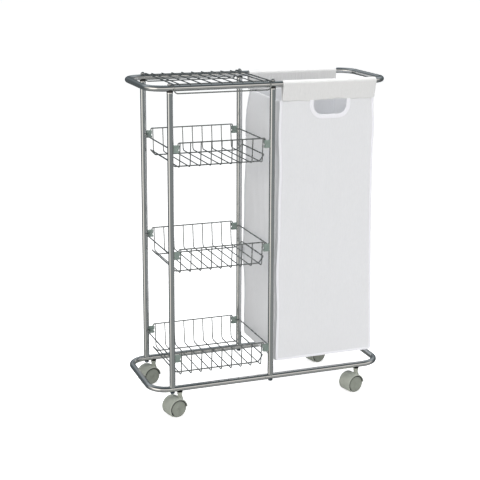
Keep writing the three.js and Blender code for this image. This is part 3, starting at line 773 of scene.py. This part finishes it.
def sleeve_sheet(sy, stations=230):
    """The gathered sleeve: a teardrop section, both tangents from the seam to a circle round the tube,
    carried along the ring into its corner. Fine waves along it gather the cloth towards the seam."""
    radius = TUBE_R + SLEEVE_CLEAR
    drop = TOP_RING_Z - BAG_SIDE_TOP + 1.5
    tangent = math.asin(radius / drop)
    turn = np.linspace(-tangent, math.pi + tangent, 30)
    loop_out, loop_up = radius * np.cos(turn), radius * np.sin(turn)
    run = np.linspace(0, 1, 13)[:-1]
    side_out, side_up = run * loop_out[0] + (1 - run) * 0.9, -drop + run * (drop + loop_up[0])
    out = np.concatenate([side_out, loop_out, -side_out[::-1]])
    up = np.concatenate([side_up, loop_up, side_up[::-1]])
    bend_start = RING_HALF_X - RING_CORNER_R
    arc = RING_CORNER_R * math.asin((SLEEVE_END - bend_start) / RING_CORNER_R)
    along = np.linspace(SLEEVE_START, bend_start + arc, stations)
    angle = np.maximum(along - bend_start, 0) / RING_CORNER_R
    px = np.where(along < bend_start, along, bend_start + RING_CORNER_R * np.sin(angle))
    py = RING_HALF_Y - RING_CORNER_R * (1 - np.cos(angle))
    nx, ny = np.sin(angle), np.cos(angle)
    dice = np.random.default_rng(21 if sy < 0 else 22)
    gather = np.zeros(stations)
    for _ in range(14):
        gather += np.sin(along / dice.uniform(5.0, 16.0) * TAU + dice.uniform(0, TAU))
    gather = gather / 5.0
    grip = np.clip(-up / drop, 0, 1)
    slow = 0.8 * np.sin(along / 37.0 + 1.1) + 0.7 * np.sin(along / 21.0)
    wave = gather[:, None] * (0.08 + 0.6 * np.sin(grip * math.pi) ** 0.8) * 0.45
    wave = wave + slow[:, None] * grip[None] * 0.8
    lean = np.sign(np.where(np.abs(out) < 1e-6, 1, out))
    o = out[None] + wave * np.where(grip > 0.02, lean, np.cos(np.arctan2(up, out)))[None]
    x = px[:, None] + nx[:, None] * o
    y = sy * (py[:, None] + ny[:, None] * o)
    sag = 1.4 * np.sin(along / 23.0 + 0.4) + 0.9 * np.sin(along / 9.0)
    z = TOP_RING_Z + up[None] + sag[:, None] * grip[None] ** 3
    length = np.concatenate([[0], np.cumsum(np.hypot(np.diff(out), np.diff(up)))])
    uv = np.stack(np.broadcast_arrays(along[:, None], length[None]), -1) * MM
    return np.stack([x, y, z], -1), uv.reshape(-1, 2)


for hand, sy in (("front", -1), ("back", 1)):
    points, uv = sleeve_sheet(sy)
    sheet = sheet_grid(points, flip=sy > 0)
    sleeve = piece(f"bag_sleeve_{hand}", [sheet], SLEEVE, uv=uv, sharp=60)
    thicken(sleeve, 0.9, 1.0)


def strap(path, half_width, half_thickness):
    """A flat strip with soft edges carried along a path; u runs along it and v across, in metres."""
    profile = strap_profile(half_width, half_thickness)
    points, quads = carried(path, profile, (0, 1, 0))
    path = np.array(path, float)
    along = np.concatenate([[0], np.cumsum(np.linalg.norm(np.diff(path, axis=0), axis=1))])
    along = np.concatenate([along[:1], along, along[-1:]])
    round_it = np.linspace(0, 4 * half_width, len(profile))
    uv = np.stack(np.broadcast_arrays(along[:, None], round_it[None]), -1).reshape(-1, 2) * MM
    return (points, quads), uv


def stepped(path, long_run, stations):
    """The same path with more stations on each straight run longer than long_run."""
    full = []
    for here, there in zip(path[:-1], path[1:]):
        is_long = np.linalg.norm(there - here) > long_run
        full.append(np.linspace(here, there, stations)[:-1] if is_long else here[None])
    return np.concatenate(full + [path[-1:]])


def seam_path(sy):
    """Down one side, along the bottom and up the other side of a long panel, just inside its edge."""
    inset = 3.0
    z_top = BAG_SIDE_TOP + 1
    corners = [(BAG_LEFT_TOP + inset, 0, z_top), (BAG_LEFT + inset, 0, BAG_LOW + inset),
               (BAG_RIGHT - inset, 0, BAG_LOW + inset), (BAG_RIGHT_TOP - inset, 0, z_top)]
    path = bent(corners, 6.0, 6)
    full = stepped(path, 50, 24)
    full[:, 1] = sy * (BAG_HALF_Y + 0.4)
    share = (full[:, 2] - BAG_LOW) / (BAG_SIDE_TOP - BAG_LOW)
    middle, half = (BAG_LEFT + BAG_RIGHT) / 2, (BAG_RIGHT - BAG_LEFT) / 2
    full[:, 0] += edge_wave((full[:, 0] - middle) / half, sy, share)
    return full


for hand, sy in (("front", -1), ("back", 1)):
    part, uv = strap(seam_path(sy), SEAM_TAPE_HALF, TAPE_HALF_THICKNESS)
    piece(f"bag_seam_tape_{hand}", [part], TAPE, uv=uv, sharp=60)

tape_left, tape_right = HOLE_LOW[0] - 3, HOLE_HIGH[0] + 3
tape_low, tape_top = HOLE_LOW[1] - 3, HOLE_HIGH[1] + 1.5
hole_corners = [(tape_left, 0, tape_top), (tape_left, 0, tape_low)]
hole_corners += [(tape_right, 0, tape_low), (tape_right, 0, tape_top)]
hole_path = bent(hole_corners, HOLE_LOW_R + 3, 16)
hole_path[:, 1] = -BAG_HALF_Y - 0.5
part, uv = strap(hole_path, HOLE_TAPE_HALF, TAPE_HALF_THICKNESS)
piece("hand_hole_tape", [part], TAPE, uv=uv, sharp=60)

low, high = box_mm("bag_base_board")
board_x, board_z = (low[0] + high[0]) / 2, (low[2] + high[2]) / 2
half_x, half_y = (high[0] - low[0]) / 2, (high[1] - low[1]) / 2
board_corners = [(-half_x, 0, -half_y), (half_x, 0, -half_y), (half_x, 0, half_y), (-half_x, 0, half_y)]
outline = bent(board_corners, 6, 5, closed=True)[:, [0, 2]]
points, quads = slab(outline, high[2] - low[2], 0.5)
points = np.stack([points[:, 0] + board_x, points[:, 2], board_z - points[:, 1]], 1)
piece("bag_base_board_sheet", [(points, quads)], BOARD, stands_for=["bag_base_board"])

# ---------------------------------------------------------------- castors
CASTOR_TURN = math.radians(13.3)
RING_UNDER = LOW_RING_Z - TUBE_R - SEAT_GAP


def about_axle(part):
    """Takes a shape made about Z and lays its axis along Y, through the axle."""
    points, quads = part
    laid = np.stack([points[:, 0] - TRAIL, points[:, 2], WHEEL_R - points[:, 1]], 1)
    return laid, quads


def arc_about_axle(section, start, end, steps=48):
    """A closed section of (radius, y) points carried round the axle from one angle to another;
    angle 0 points along +X and 90 degrees straight up. Its ends close on the section's middle."""
    section = np.array(section, float)
    angle = np.linspace(start, end, steps)
    r = section[None, :, 0]
    x = -TRAIL + r * np.cos(angle)[:, None]
    z = WHEEL_R + r * np.sin(angle)[:, None]
    y = np.repeat(section[None, :, 1], steps, 0)
    points = np.stack([x, y, z], -1)
    ends = [np.repeat(points[k].mean(0)[None, None], len(section), 1) for k in (0, -1)]
    return shell(np.concatenate([ends[0], points, ends[1]]))


def hood():
    """The hood over both wheels: a thin crowned band with a rolled lip at each side."""
    half = WHEEL_FACES[1] - 0.1
    inner = HOOD_R - HOOD_WALL
    section = [(inner, half - 0.6), (inner - 1.0, half - 0.2), (inner - 1.0, half + 0.5),
               (HOOD_R - 1.0, half + 0.5), (HOOD_R - 0.2, half - 0.4), (HOOD_R, half - 2.0), (HOOD_R, 0)]
    mirror = [(r, -y) for r, y in section[:-1][::-1]]
    closing = [(inner, -half + 3), (inner, 0), (inner, half - 3)]
    return arc_about_axle(section + mirror + closing, HOOD_FROM, HOOD_TO)


def gap_shade_ring(side):
    """A black ring of painted shade, standing for the shadow inside the hood
    seen in the gap between its lip and the wheel's face.
    """
    y = side * (WHEEL_FACES[1] - 1.6)
    inner, outer, thickness = FACE_R + 0.5, HOOD_R - 1.6, side * 0.5
    section = [(inner, y), (outer, y), (outer, y + thickness), (inner, y + thickness)]
    return arc_about_axle(section, HOOD_FROM, HOOD_TO)


def web():
    """The wall between the wheels: a disc about the axle, full from -HOOD_TO to -HOOD_FROM and a hub
    elsewhere. about_axle() turns angles over, so it is full below the axle, not all along the hood."""
    full = HOOD_R - 1

    def reach(angle, r, z):
        """The radius at an angle: the hub's, blended into the full one over 0.3 radians by 3s^2 - 2s^3."""
        middle, half = (HOOD_FROM + HOOD_TO) / 2, (HOOD_TO - HOOD_FROM) / 2
        away = np.abs((angle % TAU - middle + math.pi) % TAU - math.pi)
        share = np.clip((half + 0.15 - away) / 0.3, 0, 1)
        share = share * share * (3 - 2 * share)
        return r * (HUB_R + (full - HUB_R) * share) / full

    profile = rounded([(0, -WEB_HALF), (full, -WEB_HALF), (full, WEB_HALF), (0, WEB_HALF)], 0.8, 3)
    return about_axle(turned(profile, 72, reach))


def neck():
    """The stem's housing, flared where it grows out of the hood."""
    top = box_mm("castor_front_left_housing")[1][2]
    profile = [(0, 36), (8.8, 36), (8.6, 43), (7.4, 46.5), (6.4, 49), (6.0, 52)]
    profile += [(5.9, top - 0.5), (5.5, top), (0, top)]
    return turned(profile, 32)


def wheel(side):
    """A wheel turned about the axle: tread, eased shoulders, a shallow dished face and a hub."""
    inner, outer = WHEEL_FACES
    profile = [(0, inner), (WHEEL_R - 1, inner), (WHEEL_R - 0.2, inner + 0.6), (WHEEL_R, inner + 1.6),
               (WHEEL_R, outer - 4.4), (WHEEL_R - 0.6, outer - 3.2), (FACE_R + 0.1, outer - 2.2),
               (FACE_R, outer - 0.7), (FACE_R - 0.7, outer), (FACE_R - 2.0, outer - 0.1),
               (FACE_R - 2.6, outer - 0.8),
               (9.0, outer - 1.1), (6.2, outer - 1.0), (5.4, outer - 0.5), (3.4, outer - 0.4)]
    profile += [(2.9, outer - 1.1), (0, outer - 1.1)]
    profile = [(r, side * y) for r, y in profile]
    return about_axle(turned(profile, 72))


def axle_cap(side):
    """The axle's end seen in the wheel's hub: a low dome."""
    end = WHEEL_FACES[1] - 1.0
    dome = [(2.7 * math.cos(a), side * (end + 0.7 * math.sin(a))) for a in np.linspace(0, math.pi / 2, 5)]
    root = [(0, side * (end - 6)), (2.7, side * (end - 6))]
    return about_axle(turned(root + dome[:-1] + [(0, dome[-1][1])], 24))


def stem_collar():
    """The stem's collar under the ring: a light cup with a rim, above the neck."""
    top = RING_UNDER - 1.5
    profile = [(0, 56.4), (7.2, 56.4), (7.4, 57.4), (6.9, 58.0), (6.9, top), (0, top)]
    return turned(rounded(profile, 0.3, 2), 36)


def stem_washer():
    """The dark washer between the collar and the ring."""
    low = RING_UNDER - 1.45
    profile = [(0, low), (7.7, low), (7.7, RING_UNDER), (0, RING_UNDER)]
    return turned(rounded(profile, 0.3, 2), 36)


def castor(name, x, y):
    """One castor at (x, y): its collar and washer on the frame, its hood, and its two wheels."""
    node = f"castor_{name}"

    def part(look, shells, finish, body, stands_for, slot, sharp=38):
        placed = [swung(one, CASTOR_TURN, x, y) for one in shells]
        piece(f"{node}_{look}", placed, finish, body=body, stands_for=stands_for, sharp=sharp)

    part("collar", [stem_collar()], HOUSING, "frame", [f"{node}_stem"], "castor_plastic")
    part("washer", [stem_washer()], BLACK, "frame", (), "black_plastic")
    part("hood", [hood(), web(), neck()], HOUSING, node, [f"{node}_housing"], "castor_plastic", 32)
    # Painted shade: a black ring in the gap between each hood lip and the wheel's face.
    part("hood_gap_painted_shade", [gap_shade_ring(-1), gap_shade_ring(1)], BLACK, node, (), "black_plastic")
    part("axle_ends", [axle_cap(-1), axle_cap(1)], WHEEL, node, [f"{node}_axle"], "chrome_tube")
    for number, side in ((1, -1), (2, 1)):
        disc = f"{node}_wheel_{number}"
        part(f"wheel_{number}_disc", [wheel(side)], WHEEL, disc, [disc], "wheel_plastic", 32)


for name in ("front_left", "back_left", "front_right", "back_right"):
    x, y = middle_mm(f"castor_{name}_stem")[:2]
    castor(name, x, y)

# ---------------------------------------------------------------- floor, light and camera

# The studio's light by height: 0 is straight down, 0.5 the horizon and 1 straight up.
FRONT_LIGHT = [
    (0.0, (0.22, 0.23, 0.23)),
    (0.20, (0.46, 0.455, 0.44)),
    (0.30, (0.30, 0.31, 0.305)),
    (0.45, (0.24, 0.26, 0.265)),
    (0.47, (0.50, 0.49, 0.47)),
    (0.49, (1.0, 0.95, 0.885)),
    (0.64, (1.0, 0.95, 0.89)),
    (0.72, (0.42, 0.42, 0.42)),
    (0.80, (0.12, 0.13, 0.135)),
    (0.92, (0.06, 0.075, 0.08)),
    (1.0, (0.10, 0.12, 0.13)),
]
BACK_LIGHT = [
    (0.0, (0.22, 0.23, 0.23)),
    (0.40, (0.10, 0.11, 0.115)),
    (0.60, (0.12, 0.14, 0.15)),
    (0.78, (0.42, 0.45, 0.47)),
    (1.0, (0.30, 0.33, 0.35)),
]
STRIP_LIGHT = (0.80, 0.745, 0.675)


def set_floor():
    """A wide pale floor that glows for the camera. Mirrors don't show it: they show the world below."""
    mesh = bpy.data.meshes.new("studio_floor")
    size = 30.0
    corners = [(-size, -size, 0), (size, -size, 0), (size, size, 0), (-size, size, 0)]
    mesh.from_pydata(corners, [], [(0, 1, 2, 3)])
    made = bpy.data.materials.new("floor_paper")
    made.use_nodes = True
    tree = made.node_tree
    shader = tree.nodes["Principled BSDF"]
    shader.inputs["Roughness"].default_value = 1.0
    shader.inputs["Specular IOR Level"].default_value = 0.0
    shader.inputs["Base Color"].default_value = (0.88, 0.88, 0.88, 1)
    path = tree.nodes.new("ShaderNodeLightPath")
    glow = ramp(tree, path.outputs["Is Camera Ray"], [(0.0, 0.0), (1.0, 0.75)])
    tree.links.new(glow, shader.inputs["Emission Color"])
    shader.inputs["Emission Strength"].default_value = 1.0
    mesh.materials.append(made)
    floor = bpy.data.objects.new("studio_floor", mesh)
    floor.visible_glossy = False
    bpy.context.scene.collection.objects.link(floor)


def set_world():
    """White to the eye. In mirrors and as light it is a studio: a warm band of light at the height of
    the horizon in front, dark above that, greyish below, a brighter strip to the left and dark behind."""
    world = bpy.data.worlds.new("studio")
    bpy.context.scene.world = world
    world.use_nodes = True
    tree = world.node_tree
    tree.nodes.clear()
    where = tree.nodes.new("ShaderNodeTexCoord").outputs["Generated"]

    def towards(direction):
        """How far the direction looked in agrees with another one, as a number from 0 to 1."""
        dot = tree.nodes.new("ShaderNodeVectorMath")
        dot.operation = "DOT_PRODUCT"
        dot.inputs[1].default_value = direction
        tree.links.new(where, dot.inputs[0])
        half = tree.nodes.new("ShaderNodeMath")
        half.operation = "MULTIPLY_ADD"
        half.inputs[1].default_value = 0.5
        half.inputs[2].default_value = 0.5
        tree.links.new(dot.outputs["Value"], half.inputs[0])
        return half.outputs["Value"]

    def mixed(factor, first, second, blend="MIX"):
        """Two colours mixed by a factor."""
        made = tree.nodes.new("ShaderNodeMix")
        made.data_type = "RGBA"
        made.blend_type = blend
        tree.links.new(factor, made.inputs[0])
        tree.links.new(first, made.inputs[6])
        tree.links.new(second, made.inputs[7])
        return made.outputs[2]

    height = towards((0, 0, 1))
    ahead = towards((-0.347, -0.938, 0))
    strip = towards((-0.929, -0.370, 0.0))
    front = ramp(tree, height, FRONT_LIGHT)
    behind = ramp(tree, height, BACK_LIGHT)
    room = mixed(ramp(tree, ahead, [(0.34, 0.0), (0.60, 1.0)]), behind, front)
    tall = ramp(tree, height, [(0.22, 0.0), (0.36, STRIP_LIGHT), (0.60, STRIP_LIGHT), (0.72, 0.0)])
    room = mixed(ramp(tree, strip, [(0.945, 0.0), (0.972, 1.0)]), room, tall, "ADD")
    studio = tree.nodes.new("ShaderNodeBackground")
    studio.inputs["Strength"].default_value = 1.0
    tree.links.new(room, studio.inputs["Color"])
    white = tree.nodes.new("ShaderNodeBackground")
    white.inputs["Color"].default_value = (1, 1, 1, 1)
    path = tree.nodes.new("ShaderNodeLightPath")
    mix = tree.nodes.new("ShaderNodeMixShader")
    tree.links.new(path.outputs["Is Camera Ray"], mix.inputs["Fac"])
    tree.links.new(studio.outputs["Background"], mix.inputs[1])
    tree.links.new(white.outputs["Background"], mix.inputs[2])
    out = tree.nodes.new("ShaderNodeOutputWorld")
    tree.links.new(mix.outputs["Shader"], out.inputs["Surface"])


def soft_light(name, at, aim, size, power, colour=(1, 1, 1)):
    """A square soft light at a point, turned to its aim."""
    lamp = bpy.data.lights.new(name, "AREA")
    lamp.shape = "SQUARE"
    lamp.size = size
    lamp.energy = power
    lamp.color = colour
    made = bpy.data.objects.new(name, lamp)
    made.location = at
    made.visible_glossy = False
    made.rotation_mode = "QUATERNION"
    made.rotation_quaternion = (Vector(aim) - Vector(at)).to_track_quat("-Z", "Y")
    bpy.context.scene.collection.objects.link(made)


def set_camera():
    """The eye stands a little left of the middle and above the top ring, looking slightly down."""
    yaw, pitch, roll = 0.3690, -0.2109, 0.0069
    forward = Vector((math.sin(yaw) * math.cos(pitch), math.cos(yaw) * math.cos(pitch), math.sin(pitch)))
    right = Vector((math.cos(yaw), -math.sin(yaw), 0))
    up = right.cross(forward)
    side = right * math.cos(roll) + up * math.sin(roll)
    head = up * math.cos(roll) - right * math.sin(roll)
    made = bpy.data.cameras.new("camera")
    made.sensor_width = 36.0
    made.lens = 88.63
    made.shift_x = -0.04375
    made.shift_y = -0.10625
    eye = bpy.data.objects.new("camera", made)
    turn = Matrix((side, head, -forward)).transposed().to_4x4()
    eye.matrix_world = Matrix.Translation((-1.1080, -2.9102, 1.2264)) @ turn
    bpy.context.scene.collection.objects.link(eye)
    bpy.context.scene.camera = eye


set_floor()
set_world()
soft_light("key_light", (-3.0, -2.3, 2.5), (0, 0, 0.5), 1.6, 40)
soft_light("fill_light", (2.6, -2.0, 1.6), (0.1, 0, 0.5), 2.0, 22, (0.98, 0.99, 1.0))
soft_light("top_light", (0.2, 0.1, 3.0), (0.1, 0, 0.4), 1.8, 55)
set_camera()
bpy.context.scene.view_settings.view_transform = "Standard"
